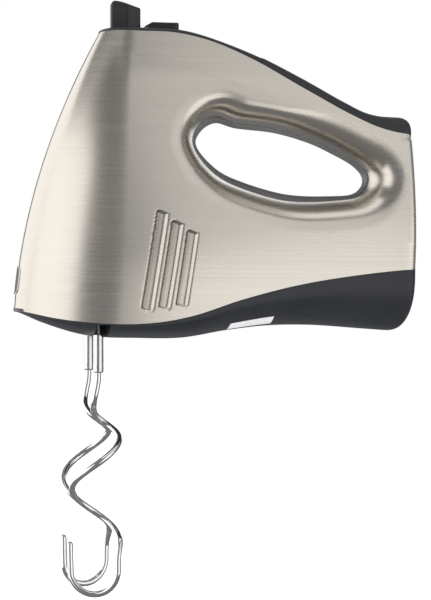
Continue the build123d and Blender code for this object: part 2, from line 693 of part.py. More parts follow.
casing()
export("handle_liner", handle_liner())
export("motor_shaft", worm_shaft())
export("armature_core", armature_core())
export("armature_windings", armature_windings())
export("commutator", commutator())
export("cooling_fan", cooling_fan())
export("stator_core", stator_core())
export("field_coils", field_coils())
export("rear_bracket", rear_bracket())
export("rear_bearing", rear_bearing())
export("brush_holders", brush_holders())
export("carbon_brushes", carbon_brushes())
export("stator_screws", stator_screws())
export("gear_case", gear_case())
export("nose_bush", nose_bush())
export("front_bearing", front_bearing())
export("gear_cover", gear_cover())
export("gear_cover_screws", gear_cover_screws())
for side, name in ((-1, "left"), (1, "right")):
    export(f"{name}_worm_wheel", worm_wheel(side))
    export(f"{name}_drive_tube", drive_tube(side))
    export(f"{name}_tube_clip", tube_clip(side))
    export(f"{name}_hook_shaft", hook_shaft(side))
    export(f"{name}_hook_sleeve", hook_sleeve(side))
    export(f"{name}_hook_wire", hook_wire(side))
export("left_hook_collar", hook_collar())
export("speed_lever", speed_lever())
export("switch_rotor", switch_rotor())
export("switch_body", switch_body())
export("switch_bracket", switch_bracket())
export("eject_fork", eject_fork())
export("eject_spring", coil_spring(LEVER_X, 0, (SHELF_TOP_Z, SPRING_COLLAR_Z[0]), 4.2, 0.6, 5))
export("turbo_button", turbo_button())
export("turbo_spring", coil_spring(BUTTON_MID_X, 0, (TURBO_SWITCH_TOP_Z, BUTTON_FLANGE_Z[0]), 3.2, 0.4, 4))
export("turbo_switch", turbo_switch())
export("control_board", control_board())
export("suppressor", suppressor())
export("terminal_block", terminal_block())
export("cord_gland", cord_gland())
export("cord_clamp", cord_clamp())
export("rating_label", rating_label())
export("housing_screws", housing_screws())
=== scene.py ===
import json

import bmesh
import bpy
import numpy as np
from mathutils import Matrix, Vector
from numpy import arccos, arcsin, clip, cos, pi, sin, sqrt


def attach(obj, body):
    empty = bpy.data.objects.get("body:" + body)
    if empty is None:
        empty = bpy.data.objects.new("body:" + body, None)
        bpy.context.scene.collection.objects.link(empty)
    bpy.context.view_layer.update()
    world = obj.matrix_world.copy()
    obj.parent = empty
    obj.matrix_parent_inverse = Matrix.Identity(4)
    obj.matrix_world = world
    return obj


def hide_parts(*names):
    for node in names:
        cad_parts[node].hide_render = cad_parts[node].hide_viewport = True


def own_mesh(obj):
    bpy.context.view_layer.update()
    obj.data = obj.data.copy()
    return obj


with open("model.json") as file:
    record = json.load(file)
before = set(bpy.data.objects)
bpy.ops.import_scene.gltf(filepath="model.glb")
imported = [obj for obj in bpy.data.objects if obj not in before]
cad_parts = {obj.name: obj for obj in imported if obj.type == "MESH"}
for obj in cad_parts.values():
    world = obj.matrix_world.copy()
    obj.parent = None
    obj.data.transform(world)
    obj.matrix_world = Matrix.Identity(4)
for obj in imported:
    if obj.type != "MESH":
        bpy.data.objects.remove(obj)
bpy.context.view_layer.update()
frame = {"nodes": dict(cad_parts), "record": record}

# Looks of a hand mixer with two dough hooks. Shapes are worked out in millimetres and put down in metres.
# The origin is the middle of the hand grip; +X goes to the heel, +Z up, -Y to the mixer's left side.

MM = 0.001

# ---- the body's form, mm ----
TOP_OF_NOSE, FOOT_OF_NOSE = 41.0, -105.0
LIP_DEPTH = 5.0  # half the gap between the two metal lips round the hand opening
SEAM = 0.25  # gap between neighbouring panels
NOSE_TOP_EDGE, NOSE_FOOT_EDGE = 39.3, -108.0  # heights of the metal's edges at the nose and at the heel
HEEL_TOP_EDGE, HEEL_FOOT_EDGE = -13.4, -86.0
NOSE_STRIP_HALF = 4.5
REAR_STRIP_HALF = 6.0
HEEL_RADIUS = 4.0
GRIP_START = -26.0
HAND_CENTRE = np.array((-12.0, -28.0))
LOUVRE_WIDTH, LOUVRE_DEPTH = 7.1, 1.5

# ---- spindles, hooks and controls, mm ----
SPINDLE = (-113.3, 20.0)
WELL_RADIUS = 4.7  # round well in the base for each hook, and its slot out to the side
WELL_FLOOR, SLOT_FLOOR = -106.2, -115.3
SLOT_HALF = 3.6
HOOK_TURN = np.radians(-20.0)
WIRE_RADIUS, SLEEVE_RADIUS, SHAFT_RADIUS = 1.7, 2.7, 2.3
EJECT_TRAVEL, BUTTON_TRAVEL = 7.0, 2.5
CONTROL_GAP = 0.35
LEVER = (-96.0, 0.0)
LEVER_DISC = 8.2
LEVER_FOOT = 33.6
LEVER_WELL_FLOOR = LEVER_FOOT - EJECT_TRAVEL - 1.0
BUTTON = (-77.0, 9.1, 7.0)  # middle, half length, half width
BUTTON_FOOT = 36.0
BUTTON_WELL_FLOOR = BUTTON_FOOT - BUTTON_TRAVEL - 0.9
BADGE_Z = -92.0
GLAND_Z = -99.0
SPRINGS = (  # node, body, joint, x, its two ends, coil's radius, wire's radius, turns, travel
    ("eject_spring", "ejector", "eject_press", LEVER[0], (-13.5, 6.0), 4.2, 0.6, 5, EJECT_TRAVEL),
    ("turbo_spring", "turbo", "turbo_press", BUTTON[0], (25.0, 35.4), 3.2, 0.4, 4, BUTTON_TRAVEL),
)

# ---- the studio, m ----
FLOOR_Z = -0.34
ROOM_LIGHT = 0.22

LIP = np.array((
    (-61.4, -19.4), (-58.0, -9.5), (-48.5, -4.2), (-36.7, -7.4), (-15.2, -10.1), (4.8, -15.6),
    (20.0, -22.2), (32.5, -29.2), (37.4, -36.4), (32.5, -45.0), (20.0, -48.2), (-10.2, -48.7),
    (-39.5, -40.6), (-53.7, -31.4),
))
GRIP_LINE = np.array((
    (-57.8, -18.9), (-54.5, -11.0), (-46.5, -6.9), (-35.6, -9.6), (-13.8, -11.8), (6.3, -17.2),
    (21.4, -24.0), (31.6, -29.4), (36.2, -36.2), (31.0, -43.6), (19.0, -45.6), (-8.7, -44.9),
    (-37.0, -36.9), (-49.8, -29.2),
))
METAL_TOP = ((-190, 39.3), (-91, 39.6), (-70.7, 39.0), (-53.5, 35.2), (-31.8, 26.3), (-3.3, 10.8),
             (26.6, -4.6), (36.6, -8.8), (46.7, -11.6), (57, -13.0), (95, -13.4))
METAL_FOOT = ((-190, -108.0), (-155, -108.2), (-137.4, -112.0), (-110.2, -114.9), (-96.3, -115.0),
              (-81.8, -113.8), (-67.2, -111.0), (-41.1, -102.8), (-14.4, -96.0), (27.1, -89.2),
              (57.6, -86.2), (95, -86.0))
CROWN = ((-120, 42.0), (-88.2, 42.1), (-67.5, 41.3), (-44.5, 34.9), (-27.9, 28.9), (-3.7, 17.6),
         (21.4, 4.4), (31.6, -0.4), (41.8, -2.6), (48, -2.9), (60, -2.9))
KEEL = ((-160, -106.0), (-154.5, -108.4), (-139.7, -114.5), (-119.2, -120.8), (-89.8, -122.7),
        (-67.5, -122.6), (-43.4, -118.8), (-19.5, -116.2), (1.7, -115.9), (35, -118.1), (52.7, -119.4))


# ---- numeric helpers ----
def smooth_line(knots, at):
    """Cubic through the knots, whose slope at each knot is that of the line through its neighbours."""
    knots = np.asarray(knots, float)
    x, y = knots[:, 0], knots[:, 1]
    slope = np.gradient(y, x)
    i = clip(np.searchsorted(x, at) - 1, 0, len(x) - 2)
    run = x[i + 1] - x[i]
    t = clip((at - x[i]) / run, 0, 1)
    start, finish = (1 + 2 * t) * (1 - t) ** 2 * y[i], t**2 * (3 - 2 * t) * y[i + 1]
    return start + finish + t * (1 - t) ** 2 * run * slope[i] + t**2 * (t - 1) * run * slope[i + 1]


def closed_curve(knots, count):
    """Closed smooth outline through the knots: four-point cubic between each pair, evenly stepped."""
    n = len(knots)
    at = np.arange(count) / count * n
    i = at.astype(int) % n
    t = (at - at.astype(int))[:, None]
    a, b, c, d = (knots[(i + k) % n] for k in (-1, 0, 1, 2))
    return 0.5 * (2 * b + (c - a) * t + (2 * a - 5 * b + 4 * c - d) * t**2 + (3 * b - a - 3 * c + d) * t**3)


def by_angle(outline, angles):
    """Points of a closed outline that lie in the given directions from the middle of the hand opening."""
    away = outline - HAND_CENTRE
    turn = np.unwrap(np.arctan2(away[:, 1], away[:, 0]))
    if turn[-1] < turn[0]:
        outline, turn = outline[::-1], turn[::-1]
    turn = np.concatenate([turn - 2 * pi, turn, turn + 2 * pi])
    tripled = np.tile(outline, (3, 1))
    at = angles - 2 * pi * np.round((angles - turn[len(turn) // 2]) / (2 * pi))
    return np.stack([np.interp(at, turn, tripled[:, k]) for k in (0, 1)], -1)


def nearest(points, outline):
    """Distance of each point from an outline of many points, and which of them is nearest."""
    flat = points.reshape(-1, 2)
    best, which = np.full(len(flat), 1e9), np.zeros(len(flat), int)
    for block in np.array_split(np.arange(len(flat)), 24):
        gap = ((flat[block, None] - outline[None]) ** 2).sum(-1)
        which[block] = gap.argmin(1)
        best[block] = sqrt(gap.min(1))
    return best.reshape(points.shape[:-1]), which.reshape(points.shape[:-1])


def spaced(places, weight, count):
    """The given number of values over the places, closer together where the weight is larger."""
    total = np.cumsum(weight)
    total = (total - total[0]) / (total[-1] - total[0])
    return np.interp(np.linspace(0, 1, count), total, places)


def ease(t):
    """Smooth step from 0 to 1."""
    t = clip(t, 0, 1)
    return t * t * (3 - 2 * t)


# ---- mesh helpers ----
def grid_faces(rows, cols, wrap_rows=False, wrap_cols=False):
    """Corner numbers of a grid's cells: each joins a point to the next in its row and in its column."""
    r = np.arange(rows if wrap_rows else rows - 1)[:, None]
    c = np.arange(cols if wrap_cols else cols - 1)[None, :]
    here, below, beside = r * cols, (r + 1) % rows * cols, (c + 1) % cols
    return np.stack([here + c, below + c, below + beside, here + beside], -1).reshape(-1, 4)


def make_piece(name, grids, material, body, nodes=(), crease=32, painted_shade_values=None):
    """One piece from a list of (points, wrap_rows, wrap_cols) grids, with its doubles merged.

    The last argument holds a painted shade value for each point of each grid, which the material reads as a
    point attribute and uses to darken the colour towards black.
    """
    points, faces, start = [], [], 0
    for grid, wrap_rows, wrap_cols in grids:
        faces.append(grid_faces(grid.shape[0], grid.shape[1], wrap_rows, wrap_cols) + start)
        points.append(grid.reshape(-1, 3))
        start += len(points[-1])
    points, faces = np.concatenate(points) * MM, np.concatenate(faces)
    mesh = bpy.data.meshes.new(name)
    mesh.vertices.add(len(points))
    mesh.vertices.foreach_set("co", points.ravel())
    mesh.loops.add(faces.size)
    mesh.loops.foreach_set("vertex_index", faces.ravel())
    mesh.polygons.add(len(faces))
    mesh.polygons.foreach_set("loop_start", np.arange(0, faces.size, 4))
    mesh.update(calc_edges=True)
    if painted_shade_values is not None:
        layer = mesh.attributes.new("mark", "FLOAT", "POINT")
        layer.data.foreach_set("value", np.concatenate([m.ravel() for m in painted_shade_values]).astype(np.float32))
    shape = bmesh.new()
    shape.from_mesh(mesh)
    bmesh.ops.remove_doubles(shape, verts=shape.verts, dist=2e-6)
    bmesh.ops.dissolve_degenerate(shape, edges=shape.edges, dist=1e-7)
    bmesh.ops.recalc_face_normals(shape, faces=shape.faces)
    shape.to_mesh(mesh)
    shape.free()
    mesh.polygons.foreach_set("use_smooth", np.ones(len(mesh.polygons), bool))
    mesh.set_sharp_from_angle(angle=np.radians(crease))
    mesh.materials.append(material)
    piece = bpy.data.objects.new(name, mesh)
    bpy.context.scene.collection.objects.link(piece)
    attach(piece, body)
    if nodes:
        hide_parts(*nodes)
    return piece


def mirrored(grid):
    """The same grid on the other side of the middle plane."""
    return grid * np.array((1, -1, 1))


def unit(v):
    return v / np.maximum(np.linalg.norm(v, axis=-1, keepdims=True), 1e-9)


def grid_normals(grid):
    """Unit normals from the differences along the rows and the columns."""
    return unit(np.cross(np.gradient(grid, axis=0), np.gradient(grid, axis=1)))


def rolled_edge(grid, outward, reach=0.35, depth=2.0):
    """Four more rows past the grid's last one, which turn the panel's edge in towards the inside."""
    last, before = grid[-1], grid[-2]
    along = unit(last - before)
    turn = np.array((0.35, 0.8, 1.0, 1.0))[:, None, None] * reach
    drop = np.array((0.1, 0.35, 0.8, depth))[:, None, None]
    return np.concatenate([grid, last + turn * along - drop * outward])


# ---- the body's walls ----
def half_widths(z):
    """Half widths at the front and at the rear, which grow downwards as a quarter sine wave."""
    lean = sin(pi / 2 * clip((TOP_OF_NOSE - z) / (TOP_OF_NOSE - FOOT_OF_NOSE), 0, 1))
    return 17 + 26 * lean, 16 + 11 * lean


def nose_lines(z):
    """The nose's tip, a parabola in height, and the line where the nose's half ellipse meets the sides."""
    share = (TOP_OF_NOSE - z) / (TOP_OF_NOSE - FOOT_OF_NOSE)
    return -110 - 80 * share + 34.5 * share**2, -95 - 9 * share


def heel_line(z):
    """The heel's x, furthest back at mid height and a parabola above and below it."""
    return 59.0 - np.where(z > -58, 2.1 * ((z + 58) / 50) ** 2, 1.5 * ((z + 58) / 37) ** 2)


def side_width(x, z):
    """Half width along the side: a smooth step from the front's width to the rear's."""
    front, rear = half_widths(z)
    flat = nose_lines(z)[1]
    return rear + (front - rear) * (1 - ease((x - flat) / (66 - flat)))


def wall(s, z):
    """Left wall. s runs along it: round the nose's ellipse, along the side, then round the heel's corner."""
    tip, flat = nose_lines(z)
    span = flat - tip
    psi = np.maximum((flat - s) / span, 0)
    corner = heel_line(z) - HEEL_RADIUS
    phi = clip((s - corner) / HEEL_RADIUS, 0, pi / 2)
    across = np.maximum(s - corner - HEEL_RADIUS * pi / 2, 0)
    x = np.where(s < flat, flat - span * sin(psi), np.minimum(s, corner) + HEEL_RADIUS * sin(phi))
    y = side_width(np.minimum(x, corner), z) - HEEL_RADIUS * (1 - cos(phi)) - across
    y = np.where(s < flat, half_widths(z)[0] * cos(psi), y)
    return np.stack([x, -y, z], -1)


def nose_front(y, z):
    """x of the nose's half ellipse at a distance from the middle plane."""
    tip, flat = nose_lines(z)
    return flat - (flat - tip) * sqrt(1 - (y / half_widths(z)[0]) ** 2)


def nose_edge(z, half):
    """s of the wall where it comes within the given distance of the middle plane, at the nose."""
    tip, flat = nose_lines(z)
    return flat - (flat - tip) * arccos(half / half_widths(z)[0])


def heel_edge(z, half):
    """The same at the heel."""
    corner = heel_line(z) - HEEL_RADIUS
    return corner + HEEL_RADIUS * pi / 2 + side_width(corner, z) - HEEL_RADIUS - half


def along_wall(x, z):
    """s of the wall at the given x, in front of the heel's corner."""
    tip, flat = nose_lines(z)
    return np.where(x < flat, flat - (flat - tip) * arcsin(clip((flat - x) / (flat - tip), 0, 1)), x)


def edge_height(knots, s):
    """Height of a panel edge along the wall. The knots give it over x, and over s once round the nose."""
    x = np.linspace(-156, 95, 600)
    z = smooth_line(knots, x)
    tip = nose_lines(z)[0]
    usable = x > tip + 0.2
    return np.interp(s, along_wall(x, z)[usable], z[usable])


def louvre_corners():
    """Outlines of the three slanted louvres, each lower and further back than the one before."""
    tops = ((-85.6, -55.1), (-78.8, -57.9), (-77.7, -60.4), (-70.5, -63.5), (-69.8, -65.3), (-62.9, -68.0))
    feet = ((-94.5, -107.1), (-87.4, -108.5), (-85.6, -106.4), (-78.4, -107.5), (-76.4, -105.3),
            (-69.4, -106.1))
    return [np.array((feet[2 * i], feet[2 * i + 1], tops[2 * i + 1], tops[2 * i])) for i in range(3)]


def drawn_in(corners, distance):
    """Corners of a convex outline, anticlockwise, whose edges have each moved inwards by the distance."""
    edge = np.roll(corners, -1, 0) - corners
    inward = unit(np.stack([-edge[:, 1], edge[:, 0]], -1))
    level = (inward * corners).sum(-1) + distance
    before, before_level = np.roll(inward, 1, 0), np.roll(level, 1)
    cross = before[:, 0] * inward[:, 1] - before[:, 1] * inward[:, 0]
    x = (before_level * inward[:, 1] - level * before[:, 1]) / cross
    y = (before[:, 0] * level - inward[:, 0] * before_level) / cross
    return np.stack([x, y], -1)


def rounded_gap(points, corners, radius):
    """Signed distance from a convex outline with rounded corners, negative inside, and its direction."""
    inset = drawn_in(np.asarray(corners, float), radius)
    best, away = np.full(points.shape[:-1], 1e9), np.zeros(points.shape)
    inside = np.ones(points.shape[:-1], bool)
    for a, b in zip(inset, np.roll(inset, -1, 0)):
        edge, rel = b - a, points - a
        along = clip((rel * edge).sum(-1) / (edge @ edge), 0, 1)[..., None]
        gap = rel - along * edge
        length = np.linalg.norm(gap, axis=-1)
        nearer = length < best
        best, away = np.where(nearer, length, best), np.where(nearer[..., None], gap, away)
        inside &= (edge[0] * rel[..., 1] - edge[1] * rel[..., 0]) > 0
    away = unit(away) * np.where(inside, -1, 1)[..., None]
    return np.where(inside, -best, best) - radius, away


def round_gap(points, centre, radius):
    """Signed distance from a circle, and its direction."""
    rel = points - np.array(centre)
    return np.linalg.norm(rel, axis=-1) - radius, unit(rel)


def snapped(points, gap, away, cell, wall_width=0.12):
    """Grid points near an outline moved on to it, and those just inside moved to the foot of its wall."""
    edge = np.abs(gap) < cell / 2
    foot = (gap <= -cell / 2) & (gap > -1.5 * cell)
    shift = np.where(edge, gap, np.where(foot, gap + wall_width, 0))
    return points - shift[..., None] * away, gap <= -cell / 2


def side_shell(name, side, material, node):
    """Metal side: a fan of lines from the hand opening's lip out to the panel's edges.

    Near the lip the wall bends in: its depth is the root of 1 - (1 - distance / reach) to the power 2.6.
    Inside each louvre the wall sinks over a rounded edge, and rises again on a slower slope at the rear.
    """
    steps = np.linspace(0, 1, 400)
    z_foot = edge_height(METAL_FOOT, nose_edge(NOSE_FOOT_EDGE, NOSE_STRIP_HALF)) + SEAM
    z_top = NOSE_TOP_EDGE - SEAM
    z = z_foot + (z_top - z_foot) * steps
    nose = np.stack([nose_edge(z, NOSE_STRIP_HALF + SEAM), z], -1)
    s = nose[-1, 0] + (heel_edge(HEEL_TOP_EDGE, REAR_STRIP_HALF) - SEAM - nose[-1, 0]) * steps
    top = np.stack([s, edge_height(METAL_TOP, s) - SEAM], -1)
    z = top[-1, 1] + (HEEL_FOOT_EDGE + SEAM - top[-1, 1]) * steps
    heel = np.stack([heel_edge(z, REAR_STRIP_HALF) - SEAM, z], -1)
    s = heel[-1, 0] + (nose[0, 0] - heel[-1, 0]) * steps
    foot = np.stack([s, edge_height(METAL_FOOT, s) + SEAM], -1)
    outline = np.concatenate([nose[:-1], top[:-1], heel[:-1], foot[:-1]])
    corners = np.array([edge[0] for edge in (nose, top, heel, foot)]) - HAND_CENTRE

    fine = np.linspace(-pi, pi, 2000, endpoint=False)
    louvres_there = np.abs(fine % (2 * pi) - 3.79) < 0.36
    angles = spaced(fine, 1 + 2.1 * louvres_there, 556)
    angles = np.sort(np.concatenate([angles, np.arctan2(corners[:, 1], corners[:, 0])]))
    lip = closed_curve(LIP, 900)
    start, finish = by_angle(lip, angles), by_angle(outline, angles)
    fine = np.linspace(0, 1, 2000)
    t = spaced(fine, 1 + 6 * np.exp(-fine / 0.03) + 1.3 * ((fine > 0.18) & (fine < 0.9)), 170)
    flat = start + (finish - start) * t[:, None, None]

    painted_shade_values = np.zeros(flat.shape[:2])
    sunk = np.zeros(flat.shape[:2])
    for corner in louvre_corners():
        gap = rounded_gap(flat, corner, 1.5)[0]
        lean = unit(corner[3] - corner[0])
        across = (flat - corner[0]) @ np.array((lean[1], -lean[0]))
        rear_slope = ease((LOUVRE_WIDTH - across) / 2.3)
        sunk = np.maximum(sunk, LOUVRE_DEPTH * np.minimum(ease((0.1 - gap) / 1.2), rear_slope))
        # Painted shade in each louvre: the whole floor a little darker, and near black along its front wall,
        # where the shadow falls.
        dark = 0.1 + 0.35 * ease((3.4 - across) / 2.2) + 0.4 * ease((1.6 - across) / 1.1)
        painted_shade_values = np.maximum(painted_shade_values, ease((0.1 - gap) / 0.8) * dark)

    gap, which = nearest(flat, lip)
    toward = np.arctan2(*(lip[which] - HAND_CENTRE).transpose(2, 0, 1)[::-1])
    reach = 18.0 - 5.0 * np.exp(-(((toward - 1.9) / 0.9) ** 2))
    grid = wall(flat[..., 0], flat[..., 1])
    swell = sqrt(1 - (1 - clip(gap / reach, 0, 1)) ** 2.6)
    swell[0] = 0
    grid[..., 1] = -(LIP_DEPTH + (-grid[..., 1] - LIP_DEPTH) * swell)
    normal = grid_normals(grid)
    if normal[60, :, 1].mean() > 0:
        normal = -normal
    grid = grid - normal * sunk[..., None]
    grid = rolled_edge(grid, normal[-1])
    painted_shade_values = np.concatenate([painted_shade_values, np.zeros((4, painted_shade_values.shape[1]))])
    if side > 0:
        grid = mirrored(grid)
    return make_piece(name, [(grid, False, True)], material, "housing", [node],
                      painted_shade_values=[painted_shade_values])


def hull(s, z_edge, spine, height, power, rows):
    """Shell that closes over the wall's edge: its lines run from the edge to a spine on the middle plane.

    Each line is a quarter of a superellipse: sideways its cosine, up or down its sine, both to 2 / power.
    """
    edge = wall(s, z_edge)
    target = clip(edge[:, 0], *spine)
    turn = (np.linspace(0, 1, rows) * pi / 2)[:, None]
    shrink, rise = cos(turn) ** (2 / power), sin(turn) ** (2 / power)
    shrink[-1] = 0
    x = target + (edge[:, 0] - target) * shrink
    z = z_edge + (height(x) - z_edge) * rise
    return np.stack([x, edge[:, 1] * shrink, z], -1)


def keel_hull(s, z_edge):
    """The base's outside, from the metal's lower edge down to the keel."""
    return hull(s, z_edge, (-141.0, 47.0), lambda x: smooth_line(KEEL, x), 2.5, 120)


def base_housing(material):
    """Dark base under the metal. Round each spindle is a recess, open to the side, with a deeper well."""
    s = np.linspace(nose_edge(NOSE_FOOT_EDGE, 0.01), heel_edge(HEEL_FOOT_EDGE, 0.0), 520)
    z_edge = edge_height(METAL_FOOT, s) - SEAM
    grid = keel_hull(s, z_edge)
    edge_in = wall(s, z_edge) * np.array((1, 0.985, 1)) + np.array((0, 0, 1.8))
    plan = np.stack([grid[..., 0], -grid[..., 1]], -1)
    low, high = SPINDLE[0] - SLOT_HALF, SPINDLE[0] + SLOT_HALF
    slot = np.array(((low, 20), (high, 20), (high, 60), (low, 60)))
    gap_slot, away_slot = rounded_gap(plan, slot, 0.01)
    gap_ring, away_ring = round_gap(plan, SPINDLE, WELL_RADIUS)
    ring = gap_ring < gap_slot
    gap, away = np.where(ring, gap_ring, gap_slot), np.where(ring[..., None], away_ring, away_slot)
    plan, inside = snapped(plan, gap, away, 0.7)
    grid[..., 0], grid[..., 1] = plan[..., 0], -plan[..., 1]
    grid[..., 2] = np.where(inside, np.maximum(grid[..., 2], SLOT_FLOOR), grid[..., 2])
    inside &= round_gap(plan, SPINDLE, WELL_RADIUS)[0] < -0.05
    grid[..., 2] = np.where(inside, WELL_FLOOR, grid[..., 2])
    grid = np.concatenate([edge_in[None], grid])
    # Painted shade: each spindle's well floor is painted near black, standing in for the shadow in the hole.
    in_well = np.hypot(grid[..., 0] - SPINDLE[0], grid[..., 1] + SPINDLE[1]) < WELL_RADIUS
    painted_shade_values = (in_well & (grid[..., 2] > WELL_FLOOR - 1.8)).astype(float)
    grids = [(grid, False, False), (mirrored(grid), False, False)]
    return make_piece("base_housing_shell", grids, material, "housing", ["base_housing"],
                      crease=40, painted_shade_values=[painted_shade_values, painted_shade_values])


def top_panel(name, x_range, lift, material, node, sinks=()):
    """Crowned panel between the two metal sides, from one station to another or round the nose or heel."""
    s0 = nose_edge(NOSE_TOP_EDGE, 0.01) if x_range[0] is None else x_range[0]
    s1 = heel_edge(HEEL_TOP_EDGE, 0.0) if x_range[1] is None else x_range[1]
    s = np.linspace(s0, s1, int((s1 - s0) / 0.42))
    z_edge = edge_height(METAL_TOP, s) + SEAM

    def crown(x):
        return smooth_line(CROWN, x) + lift * ease((x - GRIP_START) / 2.5)

    grid = hull(s, z_edge, (-99.0, 50.0), crown, 2.7, 70)
    for gap_of, floor in sinks:
        plan = np.stack([grid[..., 0], grid[..., 1]], -1)
        gap, away = gap_of(plan)
        plan, inside = snapped(plan, gap, away, 0.55)
        grid[..., :2] = plan
        grid[..., 2] = np.where(inside, floor, grid[..., 2])
    edge = grid[0] * np.array((1, 0.97, 1)) - np.array((0, 0, 1.6))
    grid = np.concatenate([edge[None], grid])
    grids = [(grid, False, False), (mirrored(grid), False, False)]
    for end, here in ((0, x_range[0]), (-1, x_range[1])):
        if here is not None:
            rim = grid[:, end]
            wall_rows = np.stack([rim, rim - np.array((0, 0, 3.0))])
            grids += [(wall_rows, False, False), (mirrored(wall_rows), False, False)]
    return make_piece(name, grids, material, "housing", [node], crease=38)


def strip(name, at_nose, half, recess, material, node):
    """Narrow dark strip over the joint of the two metal sides, a little below their surface."""
    across = np.linspace(-1, 1, 25)
    y = across * (half + 0.6)
    bow = recess * (1 - 0.5 * across**2)
    if at_nose:
        z = np.linspace(NOSE_FOOT_EDGE - 0.6, NOSE_TOP_EDGE - 0.7, 240)[:, None]
        x = nose_front(y, z) + bow
    else:
        z = np.linspace(HEEL_FOOT_EDGE - 0.2, HEEL_TOP_EDGE + 0.2, 120)[:, None]
        x = heel_line(z) - bow
    grid = np.stack(np.broadcast_arrays(x, y, z), -1)
    return make_piece(name, [(grid, False, False)], material, "housing", [node])


def handle_liner(material):
    """Grey ring in the hand opening: across its width it bulges inwards as a half ellipse."""
    angles = np.linspace(-pi, pi, 420, endpoint=False)
    lip, grip = (by_angle(closed_curve(knots, 900), angles) for knots in (LIP, GRIP_LINE))
    turn = np.linspace(-pi / 2, pi / 2, 33)[:, None, None]
    bulge = cos(turn) ** 0.8
    bulge[[0, -1]] = 0
    flat = lip * (1 - bulge) + grip * bulge
    y = np.broadcast_to((LIP_DEPTH - 0.15) * sin(turn), flat.shape[:2] + (1,))
    grid = np.concatenate([flat[..., :1], y, flat[..., 1:]], -1)
    outer = lip + 2.2 * unit(lip - HAND_CENTRE)
    behind = np.stack([outer[:, 0], np.full(len(lip), LIP_DEPTH - 0.3), outer[:, 1]], -1)
    grid = np.concatenate([mirrored(behind)[None], grid, behind[None]])
    return make_piece("handle_liner_ring", [(grid, True, True)], material, "housing", ["handle_liner"])


# ---- controls ----
def turned_outline(outline, inset):
    """A closed plan outline drawn in by the inset, square to the line through each point's neighbours."""
    along = unit(np.roll(outline, -1, 0) - np.roll(outline, 1, 0))
    return outline + inset * np.stack([-along[:, 1], along[:, 0]], -1)


def capped_block(outline, foot, top, edge):
    """Upright block: its wall rises from the foot, rounds over by the edge radius and closes on its middle.

    top gives the height over the plan, so the cap may slope or be crowned.
    """
    turn = np.linspace(0, pi / 2, 8)
    rows = [np.column_stack([outline, np.full(len(outline), foot)])]
    for share in np.linspace(0, 1, 14):
        level = top(outline[:, 0], outline[:, 1]) - edge
        rows.append(np.column_stack([outline, foot + (level - foot) * share]))
    for angle in turn[1:]:
        plan = turned_outline(outline, edge * (1 - cos(angle)))
        rows.append(np.column_stack([plan, top(plan[:, 0], plan[:, 1]) - edge * (1 - sin(angle))]))
    middle = plan.mean(0)
    for share in np.linspace(1, 0, 16)[1:]:
        inner = middle + (plan - middle) * share
        rows.append(np.column_stack([inner, top(inner[:, 0], inner[:, 1])]))
    floor = np.column_stack([np.tile(middle, (len(outline), 1)), np.full(len(outline), foot)])
    return np.stack([floor] + rows)


def rounded_outline(corners, radius, count):
    """Plan outline of a convex shape with round corners, by pushing a circle's points out to its edges."""
    corners = np.array(corners, float)
    middle = corners.mean(0)
    angles = np.linspace(0, 2 * pi, count, endpoint=False)
    ray = np.stack([cos(angles), sin(angles)], -1)
    reach = np.zeros(count)
    low, high = np.zeros(count), np.full(count, 60.0)
    for _ in range(30):
        reach = (low + high) / 2
        gap = rounded_gap(middle + ray * reach[:, None], corners, radius)[0]
        low, high = np.where(gap < 0, reach, low), np.where(gap < 0, high, reach)
    return middle + ray * reach[:, None]


def speed_lever(material):
    """Tall lever on a round base. In plan it is pointed to the sides; its top slopes down to the rear."""
    circle = np.linspace(0, 2 * pi, 120, endpoint=False)
    disc = np.array(LEVER) + LEVER_DISC * np.stack([cos(circle), sin(circle)], -1)
    base = capped_block(disc, LEVER_FOOT, lambda x, y: 42.0 + 0 * x, 0.5)
    left_corners = [(-104.0, -2.2), (-95.4, -5.6), (-88.2, -2.4)]
    corners = left_corners + [(x, -y) for x, y in reversed(left_corners)]
    plan = rounded_outline(corners, 0.9, 240)

    def top(x, y):
        return 57.3 - 3.6 * ease((x + 102.5) / 16) - 1.2 * ease((-102.2 - x) / 1.9) - 0.02 * y**2

    grip = capped_block(plan, 41.0, top, 1.1)
    return make_piece("speed_lever_grip", [(base, False, True), (grip, False, True)], material, "selector",
                      ["speed_lever"], crease=28)


def button_corners(gap=0.0):
    """Corners of the button's plan, let out by the gap."""
    x, length, width = BUTTON[0], BUTTON[1] + gap, BUTTON[2] + gap
    return np.array([(x - length, -width), (x + length, -width), (x + length, width), (x - length, width)])


def turbo_button(material):
    """Low push button with a bevel at its front and a slightly hollow top."""
    front = BUTTON[0] - BUTTON[1]
    hollow_x = BUTTON[0] + 1

    def top(x, y):
        bevel = 2.1 * clip((front + 3.6 - x) / 3.6, 0, 1)
        hollow = 0.35 * np.exp(-(((x - hollow_x) / 5) ** 2 + (y / 4.5) ** 2))
        return 46.0 - bevel - hollow - 0.006 * y**2

    block = capped_block(rounded_outline(button_corners(), 2.2, 200), BUTTON_FOOT, top, 0.7)
    return make_piece("turbo_button_cap", [(block, False, True)], material, "turbo", ["turbo_button"],
                      crease=30)


def lever_well(plan):
    return round_gap(plan, LEVER, LEVER_DISC + CONTROL_GAP)


def button_well(plan):
    return rounded_gap(plan, button_corners(CONTROL_GAP), 2.4)


# ---- dough hooks ----
def tube(path, side_axis, radius, section=20):
    """Round wire along a path. Its cross sections are set square with the given axis, its ends are domed."""
    along = unit(np.gradient(path, axis=0))
    first = unit(np.cross(along, side_axis))
    second = np.cross(along, first)
    turn = np.linspace(0, 2 * pi, section, endpoint=False)
    ring = cos(turn)[None, :, None] * first[:, None] + sin(turn)[None, :, None] * second[:, None]
    body = path[:, None] + radius * ring
    dome = np.linspace(0, pi / 2, 7)[1:, None, None]
    end = path[-1] + radius * (cos(dome) * ring[-1] + sin(dome) * along[-1])
    start = path[0] + radius * (cos(dome) * ring[0] - sin(dome) * along[0])
    return np.concatenate([start[::-1], body, end])


